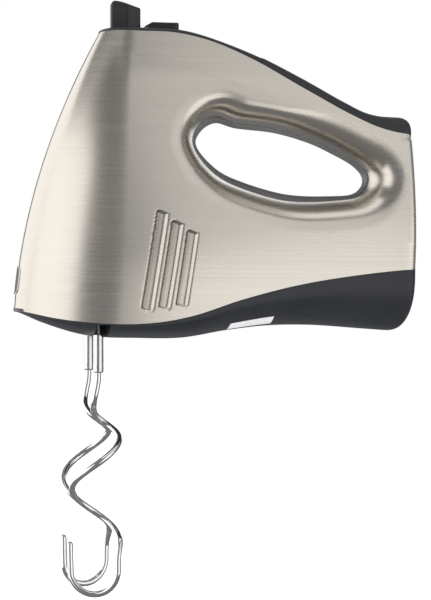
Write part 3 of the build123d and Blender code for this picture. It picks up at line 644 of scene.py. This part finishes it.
def hook_route():
    """Wire's centre line in the hook's own plane, from the sleeve down.

    It leaves the axis, swings out on a half turn of a widening helix, makes one full turn, runs down
    as a straight leg and comes up again as a U across the axis.
    """
    helix_x, helix_radius, helix_top, pitch = -1.3, 12.5, -175.7, 55.0
    bow_x, bow_z, bow_radius = -2.3, -243.6, 12.7
    t = np.linspace(0, 1, 24)[:, None]
    neck = np.array((0, 0, -133.0)) + t * np.array((-0.4, 0, -15.5))
    t = np.linspace(0, 1, 70)[:, None]
    angle = pi * (1 - t)
    radius = 2.2 + (helix_radius - 2.2) * (0.35 * t + 0.65 * ease(t))
    opening = np.hstack([helix_x * t + radius * cos(angle), radius * sin(angle), helix_top + 21 * (1 - t)])
    t = np.linspace(0, 1, 150)[:, None]
    angle = 2 * pi * t
    turn = np.hstack([helix_x + helix_radius * cos(angle), -helix_radius * sin(angle), helix_top - pitch * t])
    leg = np.array([(10.6, 0, -236.0), (10.4, 0, -241.0)])
    bend = np.linspace(0.12, pi - 0.1, 40)[:, None]
    bow = np.hstack([bow_x + bow_radius * cos(bend), 0 * bend, bow_z - bow_radius * sin(bend)])
    rise = np.array([(-15.0, 0, -240.0), (-15.1, 0, -235.0), (-15.2, 0, -230.5)])
    rough = np.concatenate([neck[::8], opening[8:-4:6], turn[4:-4:6], leg, bow[::5], rise])
    length = np.concatenate([[0], np.cumsum(np.linalg.norm(np.diff(rough, axis=0), axis=1))])
    even = np.linspace(0, length[-1], 420)
    return np.stack([smooth_line(np.stack([length, rough[:, k]], -1), even) for k in range(3)], -1)


def revolved(profile, centre, section=48, squash=None):
    """Profile of (radius, z) pairs turned about an upright axis. squash flattens it over its height."""
    turn = np.linspace(0, 2 * pi, section, endpoint=False)
    radius, z = np.array(profile, float).T
    x, y = radius[:, None] * cos(turn), radius[:, None] * sin(turn)
    if squash is not None:
        pinch = squash(z)[:, None]
        x, y = x * (1 + 0.45 * pinch), y * (1 - pinch)
    return np.stack([centre[0] + x, centre[1] + y, np.broadcast_to(z[:, None], x.shape)], -1)


def dough_hook(side, steel, brushed):
    """Wire, sleeve and shaft of one hook. The right hook is the left one's mirror image."""
    name = "left" if side < 0 else "right"
    centre = (SPINDLE[0], -SPINDLE[1])
    c, s = cos(HOOK_TURN), sin(HOOK_TURN)
    x, y, z = hook_route().T
    path = np.stack([centre[0] + x * c - y * s, centre[1] + x * s + y * c, z], -1)
    wire = tube(path, np.array((-s, c, 0)), WIRE_RADIUS)
    heights = np.linspace(-139.9, -120.4, 60)
    sleeve_profile = [(0, -140.5), (1.9, -140.5), (2.45, -140.3)] + [(SLEEVE_RADIUS, h) for h in heights]
    sleeve_profile += [(2.45, -120.0), (1.9, -119.9), (0, -119.9)]

    def crimps(h):
        return 0.05 * np.exp(-(((h + 137.5) / 1.2) ** 2))

    sleeve = revolved(sleeve_profile, centre, squash=crimps)
    shaft_profile = [(0, -121), (SHAFT_RADIUS, -121), (SHAFT_RADIUS, -100), (SHAFT_RADIUS, -75.4),
                     (1.6, -74.5), (0, -74.5)]
    shaft = revolved(shaft_profile, centre, 40)
    for part, grid, finish in (("wire", wire, steel), ("sleeve", sleeve, brushed), ("shaft", shaft, brushed)):
        grid = mirrored(grid) if side > 0 else grid
        make_piece(f"{name}_hook_{part}_bright", [(grid, False, True)], finish, f"{name}_hook",
                   [f"{name}_hook_{part}"], crease=40)


# ---- springs ----
def coil_spring(node, body, joint, x, ends, radius, wire, turns, travel, steel):
    """Round wire along a helix. The whole coil, its upper end too, moves with the body."""
    low, high = ends
    share = np.linspace(0, 1, int(turns * 36))
    angle = 2 * pi * turns * share
    z = low + wire + (high - low - 2 * wire) * share
    path = np.stack([x + radius * cos(angle), radius * sin(angle), z], -1)
    coil = tube(path, np.array((0, 0, 1.0)), wire, 12)
    piece = make_piece(f"{node}_coil", [(coil, False, True)], steel, body, [node], crease=50)
    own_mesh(piece)


# ---- trim ----
def nose_badge(dark, rim):
    """Blank oval plate on the nose. It follows the nose's curve, and a thin bright rim runs round it."""
    turn = np.linspace(0, 2 * pi, 140, endpoint=False)
    out = np.linspace(0, 1, 18)[:, None]
    round_x, round_z = (np.sign(v) * np.abs(v) ** 0.6 for v in (cos(turn), sin(turn)))

    def on_nose(y, z, proud):
        return np.stack([nose_front(y, z) - proud, y, z], -1)

    plate = on_nose(7.4 * out * round_x, BADGE_Z + 6.9 * out * round_z, 0.35)
    make_piece("nose_badge_plate", [(plate, False, True)], dark, "housing", ["nose_badge"])
    ring = np.linspace(0, 2 * pi, 12, endpoint=False)[:, None]
    wide, high = 7.6 + 0.35 * cos(ring), 7.1 + 0.35 * cos(ring)
    edge = on_nose(wide * round_x, BADGE_Z + high * round_z, 0.15 + 0.35 * sin(ring))
    make_piece("nose_badge_rim", [(edge, True, True)], rim, "housing", [])


def rating_label(material):
    """Blank film label on the left of the base's underside, laid over the hull's curve."""
    s = np.linspace(-45, -21, 60)
    z_edge = edge_height(METAL_FOOT, s) - SEAM
    grid = keel_hull(s, z_edge)[54:86] + np.array((0, 0, -0.18))
    under = grid + np.array((0, 0, 0.12))
    return make_piece("rating_label_film", [(grid, False, False), (under, False, False)], material, "housing",
                      ["rating_label"])


def cord_gland(material):
    """Rubber bush in the heel: a ribbed collar round the bore that a mains lead would leave through."""
    profile = [(4.5, 46.2), (8.4, 46.4), (8.5, 49.3), (6.8, 49.5), (6.8, 55.6), (8.2, 55.8), (8.3, 57.2),
               (7.4, 57.6), (7.0, 58.2), (6.4, 58.8), (5.2, 59.0), (4.6, 58.7), (4.5, 58.2)]
    turn = np.linspace(0, 2 * pi, 64, endpoint=False)
    radius, x = (column[:, None] for column in np.array(profile).T)
    grid = np.stack(np.broadcast_arrays(x, radius * cos(turn), GLAND_Z + radius * sin(turn)), -1)
    return make_piece("cord_gland_bush", [(grid, True, True)], material, "housing", ["cord_gland"])


# ---- finishes ----
def new_group(name, setting, value, outputs):
    """Empty shader node group with one float setting and float outputs."""
    group = bpy.data.node_groups.new(name, "ShaderNodeTree")
    socket = group.interface.new_socket(setting, in_out="INPUT", socket_type="NodeSocketFloat")
    socket.default_value = value
    for label in outputs:
        group.interface.new_socket(label, in_out="OUTPUT", socket_type="NodeSocketFloat")
    return group, group.nodes.new("NodeGroupInput"), group.nodes.new("NodeGroupOutput")


def add(tree, kind, settings=(), **inputs):
    """Node of a kind, with its settings and its unlinked inputs set."""
    node = tree.nodes.new(kind)
    for key, value in dict(settings).items():
        setattr(node, key, value)
    for key, value in inputs.items():
        node.inputs[key.replace("_", " ")].default_value = value
    return node


def brushing_group():
    """Level brush lines: noise stretched along the level directions, fine and coarse mixed."""
    group, given, result = new_group("brush_lines", "Fineness", 1.0, ("Lines", "Smear"))
    link = group.links.new
    where = add(group, "ShaderNodeTexCoord")
    outputs = []
    for across, along in ((2600.0, 14.0), (700.0, 5.0)):
        place = add(group, "ShaderNodeMapping", Scale=(along, along, across))
        noise = add(group, "ShaderNodeTexNoise", Scale=1.0, Detail=3.0, Roughness=0.6)
        link(where.outputs["Object"], place.inputs["Vector"])
        link(place.outputs[0], noise.inputs["Vector"])
        outputs.append(noise.outputs[0])
    scaled = add(group, "ShaderNodeMath", {"operation": "MULTIPLY"})
    link(outputs[0], scaled.inputs[0])
    link(given.outputs["Fineness"], scaled.inputs[1])
    both = add(group, "ShaderNodeMath", {"operation": "ADD"})
    link(scaled.outputs[0], both.inputs[0])
    link(outputs[1], both.inputs[1])
    link(both.outputs[0], result.inputs["Lines"])
    link(outputs[1], result.inputs["Smear"])
    return group


def grain_group():
    """Moulded texture: small cells and a softer, larger unevenness."""
    group, given, result = new_group("mould_grain", "Size", 900.0, ("Height", "Cloud"))
    link = group.links.new
    where = add(group, "ShaderNodeTexCoord")
    cells = add(group, "ShaderNodeTexVoronoi", {"feature": "SMOOTH_F1"}, Smoothness=0.6)
    cloud = add(group, "ShaderNodeTexNoise", Scale=34.0, Detail=4.0, Roughness=0.55)
    link(where.outputs["Object"], cells.inputs["Vector"])
    link(where.outputs["Object"], cloud.inputs["Vector"])
    link(given.outputs["Size"], cells.inputs["Scale"])
    link(cells.outputs[0], result.inputs["Height"])
    link(cloud.outputs[0], result.inputs["Cloud"])
    return group


def wear_group():
    """Worn edges and dust: pointiness broken up by noise, and a fine speckle."""
    group, given, result = new_group("edge_wear", "Amount", 0.5, ("Edge", "Dust"))
    link = group.links.new
    where, shape = add(group, "ShaderNodeTexCoord"), add(group, "ShaderNodeNewGeometry")
    ramp = add(group, "ShaderNodeMapRange", {"interpolation_type": "SMOOTHSTEP"})
    ramp.inputs["From Min"].default_value, ramp.inputs["From Max"].default_value = 0.53, 0.62
    noise = add(group, "ShaderNodeTexNoise", Scale=160.0, Detail=4.0)
    link(shape.outputs["Pointiness"], ramp.inputs["Value"])
    link(where.outputs["Object"], noise.inputs["Vector"])
    worn = add(group, "ShaderNodeMath", {"operation": "MULTIPLY"})
    link(ramp.outputs[0], worn.inputs[0])
    link(noise.outputs[0], worn.inputs[1])
    scaled = add(group, "ShaderNodeMath", {"operation": "MULTIPLY"})
    link(worn.outputs[0], scaled.inputs[0])
    link(given.outputs["Amount"], scaled.inputs[1])
    dust = add(group, "ShaderNodeMapRange")
    dust.inputs["From Min"].default_value, dust.inputs["From Max"].default_value = 0.62, 0.8
    link(noise.outputs[0], dust.inputs["Value"])
    link(scaled.outputs[0], result.inputs["Edge"])
    link(dust.outputs[0], result.inputs["Dust"])
    return group


GROUPS = {"brush": brushing_group(), "grain": grain_group(), "wear": wear_group()}


class Finish:
    """A material with its Principled shader, and short ways to place a group, mix colours and add relief."""

    def __init__(self, name, color, metallic=0.0, **shader):
        self.material = bpy.data.materials.new(name)
        self.material.use_nodes = True
        self.tree = self.material.node_tree
        self.shader = self.tree.nodes["Principled BSDF"]
        self.material.diffuse_color = (*color, 1)
        self.shader.inputs["Metallic"].default_value = metallic
        for key, value in shader.items():
            self.shader.inputs[key.replace("_", " ")].default_value = value

    def group(self, kind, value):
        node = self.tree.nodes.new("ShaderNodeGroup")
        node.node_tree = GROUPS[kind]
        node.inputs[0].default_value = value
        return node.outputs

    def spread(self, socket, low, high):
        """The socket's 0.25 to 0.75 spread over low to high."""
        node = add(self.tree, "ShaderNodeMapRange")
        for key, value in (("From Min", 0.25), ("From Max", 0.75), ("To Min", low), ("To Max", high)):
            node.inputs[key].default_value = value
        self.tree.links.new(socket, node.inputs["Value"])
        return node.outputs[0]

    def mix(self, factor, first, second):
        """Colour between two colours or sockets."""
        node = add(self.tree, "ShaderNodeMix", {"data_type": "RGBA"})
        self.tree.links.new(factor, node.inputs[0])
        for socket, value in ((node.inputs[6], first), (node.inputs[7], second)):
            if isinstance(value, tuple):
                socket.default_value = (*value, 1)
            else:
                self.tree.links.new(value, socket)
        return node.outputs[2]

    def relief(self, height, strength, distance):
        node = add(self.tree, "ShaderNodeBump", Strength=strength, Distance=distance)
        self.tree.links.new(height, node.inputs["Height"])
        self.tree.links.new(node.outputs[0], self.shader.inputs["Normal"])

    def wire(self, socket, label):
        self.tree.links.new(socket, self.shader.inputs[label])

    # The points' painted shade value, from the attribute that make_piece sets.
    def mark(self):
        return add(self.tree, "ShaderNodeAttribute", {"attribute_name": "mark"}).outputs["Fac"]


def shade(color, factor):
    return tuple(min(c * factor, 1.0) for c in color)


def brushed_metal(name, color, roughness, fineness=1.0, shade_painted=False, anisotropy=0.55):
    """Metal brushed level: lines change the tone, the gloss and the surface a little."""
    f = Finish(name, color, 1.0, Anisotropic=anisotropy)
    brush, wear = f.group("brush", fineness), f.group("wear", 0.5)
    tone = f.mix(f.spread(brush["Lines"], 0.0, 1.0), shade(color, 0.96), shade(color, 1.04))
    tone = f.mix(wear["Edge"], tone, shade(color, 1.15))
    # Painted shade: where the flag is set, the points' painted shade value darkens the tone towards black.
    if shade_painted:
        tone = f.mix(f.mark(), tone, (0.01, 0.01, 0.01))
    f.wire(tone, "Base Color")
    f.wire(f.spread(brush["Smear"], roughness - 0.03, roughness + 0.03), "Roughness")
    tangent = add(f.tree, "ShaderNodeTangent", {"direction_type": "RADIAL", "axis": "Z"})
    f.wire(tangent.outputs[0], "Tangent")
    f.relief(brush["Lines"], 0.008, 0.0001)
    return f.material


def moulded(name, color, roughness, size=900.0, depth=0.12, wear=0.35, shade_painted=False, **shader):
    """Moulded plastic or rubber: fine grain, cloudy gloss and paler worn edges."""
    f = Finish(name, color, **shader)
    grain, worn = f.group("grain", size), f.group("wear", wear)
    tone = f.mix(f.spread(grain["Cloud"], 0.0, 1.0), shade(color, 0.85), shade(color, 1.18))
    tone = f.mix(worn["Edge"], tone, tuple(min(c * 1.6 + 0.02, 1) for c in color))
    # Painted shade: where the flag is set, the points' painted shade value darkens the tone towards black.
    if shade_painted:
        tone = f.mix(f.mark(), tone, (0.006, 0.006, 0.006))
    f.wire(tone, "Base Color")
    f.wire(f.spread(grain["Cloud"], roughness - 0.06, roughness + 0.07), "Roughness")
    f.relief(grain["Height"], depth, 0.00015)
    return f.material


def bright_steel(name, color, roughness):
    """Polished plated steel with faint drawing marks and a slight cloudiness."""
    f = Finish(name, color, 1.0)
    grain, worn = f.group("grain", 1500.0), f.group("wear", 0.3)
    tone = f.mix(f.spread(grain["Cloud"], 0.0, 1.0), shade(color, 0.94), shade(color, 1.04))
    f.wire(f.mix(worn["Dust"], tone, shade(color, 0.9)), "Base Color")
    f.wire(f.spread(grain["Cloud"], roughness - 0.03, roughness + 0.05), "Roughness")
    f.relief(grain["Height"], 0.03, 0.00005)
    return f.material


def layered(name, color, other, roughness, metallic, spacing, axis):
    """Stacked sheets or wound wire: fine bands along one axis, with cloudy variation."""
    f = Finish(name, color, metallic)
    where = add(f.tree, "ShaderNodeTexCoord")
    bands = add(f.tree, "ShaderNodeTexWave", {"wave_type": "BANDS", "bands_direction": axis},
                Scale=spacing, Distortion=0.4, Detail=2.0)
    f.tree.links.new(where.outputs["Object"], bands.inputs["Vector"])
    grain = f.group("grain", 700.0)
    tone = f.mix(bands.outputs["Fac"], color, other)
    f.wire(f.mix(f.spread(grain["Cloud"], 0.0, 0.5), tone, shade(color, 0.7)), "Base Color")
    f.wire(f.spread(grain["Cloud"], roughness - 0.08, roughness + 0.08), "Roughness")
    f.relief(bands.outputs["Fac"], 0.3, 0.0002)
    return f.material


CHAMPAGNE = (0.64, 0.595, 0.53)
LOOKS = {
    "brushed_shell": brushed_metal("champagne_nickel_brushed", CHAMPAGNE, 0.27, shade_painted=True),
    "dark_housing": moulded("charcoal_moulding", (0.020, 0.021, 0.025), 0.36, shade_painted=True,
                            Specular_IOR_Level=0.35),
    "dark_strip": moulded("charcoal_strip", (0.018, 0.018, 0.021), 0.42),
    "rubber_grip": moulded("soft_grip_rubber", (0.020, 0.020, 0.022), 0.55, 1100.0, 0.25),
    "black_controls": moulded("black_control_plastic", (0.012, 0.012, 0.014), 0.28, 1300.0, 0.05),
    "grey_liner": moulded("grey_liner_plastic", (0.165, 0.165, 0.17), 0.45, 1100.0, 0.1),
    "label_film": moulded("silvered_label_film", (0.62, 0.62, 0.63), 0.35, 1600.0, 0.03),
    "black_rubber": moulded("black_bush_rubber", (0.018, 0.018, 0.018), 0.6, 1000.0, 0.25),
    "hook_steel": bright_steel("polished_hook_steel", (0.80, 0.79, 0.77), 0.10),
    "sleeve_steel": brushed_metal("turned_sleeve_steel", (0.70, 0.69, 0.67), 0.2, 0.6, anisotropy=0.3),
    "inner_plastic": moulded("glass_filled_nylon", (0.05, 0.05, 0.055), 0.5),
    "white_nylon": moulded("natural_nylon", (0.78, 0.76, 0.70), 0.4, 1200.0, 0.06),
    "plain_steel": brushed_metal("zinc_plated_steel", (0.55, 0.55, 0.57), 0.3, 0.8, anisotropy=0.3),
    "core_steel": layered("stacked_core_sheet", (0.20, 0.20, 0.22), (0.09, 0.09, 0.1), 0.45, 0.9, 320.0, "X"),
    "copper_wire": layered("enamelled_copper", (0.62, 0.25, 0.10), (0.35, 0.12, 0.05), 0.3, 0.8, 260.0, "Z"),
    "bearing_bronze": bright_steel("sintered_bronze", (0.50, 0.36, 0.18), 0.35),
    "carbon": moulded("graphite_brush", (0.03, 0.03, 0.03), 0.5),
    "board": moulded("lacquered_board", (0.03, 0.16, 0.06), 0.3, 500.0, 0.1),
    "capacitor_case": moulded("ochre_capacitor_case", (0.55, 0.38, 0.06), 0.4),
}


def dress_cad_nodes():
    """Every CAD node that stays gets the finish of its material slot."""
    slot_of = {row["node"]: row["material_slot"] for row in frame["record"]["subparts"]}
    for node, piece in frame["nodes"].items():
        for place in piece.material_slots:
            place.material = LOOKS[slot_of[node]]


# ---- studio ----
def studio():
    """Pale floor, soft panels and a camera level with the base, turned a little towards the nose."""
    out = np.linspace(0, 6.0, 14)[:, None]
    turn = np.linspace(0, 2 * pi, 48, endpoint=False)
    x, y = out * cos(turn), out * sin(turn)
    grid = np.stack([x, y, np.full(x.shape, FLOOR_Z)], -1)
    mesh = bpy.data.meshes.new("studio_floor")
    mesh.from_pydata(grid.reshape(-1, 3).tolist(), [], grid_faces(14, 48, False, True)[:, ::-1].tolist())
    pale = Finish("pale_floor", (0.9, 0.9, 0.9), Emission_Strength=0.95, Emission_Color=(1, 1, 1, 1))
    cloud = pale.group("grain", 60.0)["Cloud"]
    pale.wire(pale.mix(cloud, (0.88, 0.88, 0.88), (0.92, 0.92, 0.92)), "Base Color")
    mesh.materials.append(pale.material)
    floor = bpy.data.objects.new("studio_floor", mesh)
    bpy.context.scene.collection.objects.link(floor)
    floor.visible_glossy = False

    world = bpy.data.worlds.new("soft_room")
    world.use_nodes = True
    tree = world.node_tree
    room = tree.nodes["Background"]
    room.inputs[0].default_value, room.inputs[1].default_value = (0.93, 0.95, 1.0, 1), ROOM_LIGHT
    white = add(tree, "ShaderNodeBackground", Strength=1.0)
    white.inputs[0].default_value = (1, 1, 1, 1)
    both = tree.nodes.new("ShaderNodeMixShader")
    tree.links.new(tree.nodes.new("ShaderNodeLightPath").outputs["Is Camera Ray"], both.inputs[0])
    tree.links.new(room.outputs[0], both.inputs[1])
    tree.links.new(white.outputs[0], both.inputs[2])
    tree.links.new(both.outputs[0], tree.nodes["World Output"].inputs[0])
    bpy.context.scene.world = world
    centre = Vector((-0.05, 0, -0.08))
    panels = (
        ("left_panel", (-1.64, -0.44, 0.05), 2.3, 2.0, 18.0),
        ("nose_panel", (-1.27, 1.27, 0.05), 1.6, 2.0, 12.0),
        ("low_right_panel", (1.25, -1.55, -0.35), 2.3, 1.2, 9.5),
        ("high_right_panel", (1.2, -1.45, 0.95), 2.3, 1.5, 7.0),
        ("top_panel", (0.0, -0.2, 1.6), 1.8, 1.4, 8.0),
        ("back_panel", (0.9, 1.7, 0.4), 1.6, 1.2, 6.0),
    )
    for name, place, width, height, watts in panels:
        light = bpy.data.lights.new(name, "AREA")
        light.shape, light.size, light.size_y, light.energy = "RECTANGLE", width, height, watts
        lamp = bpy.data.objects.new(name, light)
        lamp.location = place
        lamp.rotation_euler = (centre - Vector(place)).to_track_quat("-Z", "Y").to_euler()
        bpy.context.scene.collection.objects.link(lamp)

    yaw, distance, height = np.radians(11.2), 1.0, -0.10245
    camera = bpy.data.cameras.new("camera")
    camera.lens, camera.sensor_width = 111.1, 36.0
    holder = bpy.data.objects.new("camera", camera)
    holder.location = (-0.04694 - distance * sin(yaw), -distance * cos(yaw), height)
    holder.rotation_euler = (pi / 2, 0, -yaw)
    bpy.context.scene.collection.objects.link(holder)
    bpy.context.scene.camera = holder
    bpy.context.scene.view_settings.view_transform = "Standard"


dress_cad_nodes()
side_shell("left_side_shell_brushed", -1, LOOKS["brushed_shell"], "left_side_shell")
side_shell("right_side_shell_brushed", 1, LOOKS["brushed_shell"], "right_side_shell")
base_housing(LOOKS["dark_housing"])
top_panel("top_cover_panel", (None, GRIP_START - 0.25), 0.0, LOOKS["dark_strip"], "top_cover",
          sinks=((lever_well, LEVER_WELL_FLOOR), (button_well, BUTTON_WELL_FLOOR)))
top_panel("thumb_grip_pad", (GRIP_START, None), 0.5, LOOKS["rubber_grip"], "thumb_grip")
strip("nose_strip_inlay", True, NOSE_STRIP_HALF, 0.5, LOOKS["dark_strip"], "nose_strip")
strip("rear_strip_inlay", False, REAR_STRIP_HALF, 0.5, LOOKS["dark_strip"], "rear_strip")
handle_liner(LOOKS["grey_liner"])
speed_lever(LOOKS["black_controls"])
turbo_button(LOOKS["black_controls"])
for hook_side in (-1, 1):
    dough_hook(hook_side, LOOKS["hook_steel"], LOOKS["sleeve_steel"])
for spring in SPRINGS:
    coil_spring(*spring, LOOKS["plain_steel"])
nose_badge(LOOKS["dark_strip"], LOOKS["sleeve_steel"])
rating_label(LOOKS["label_film"])
cord_gland(LOOKS["black_rubber"])
studio()
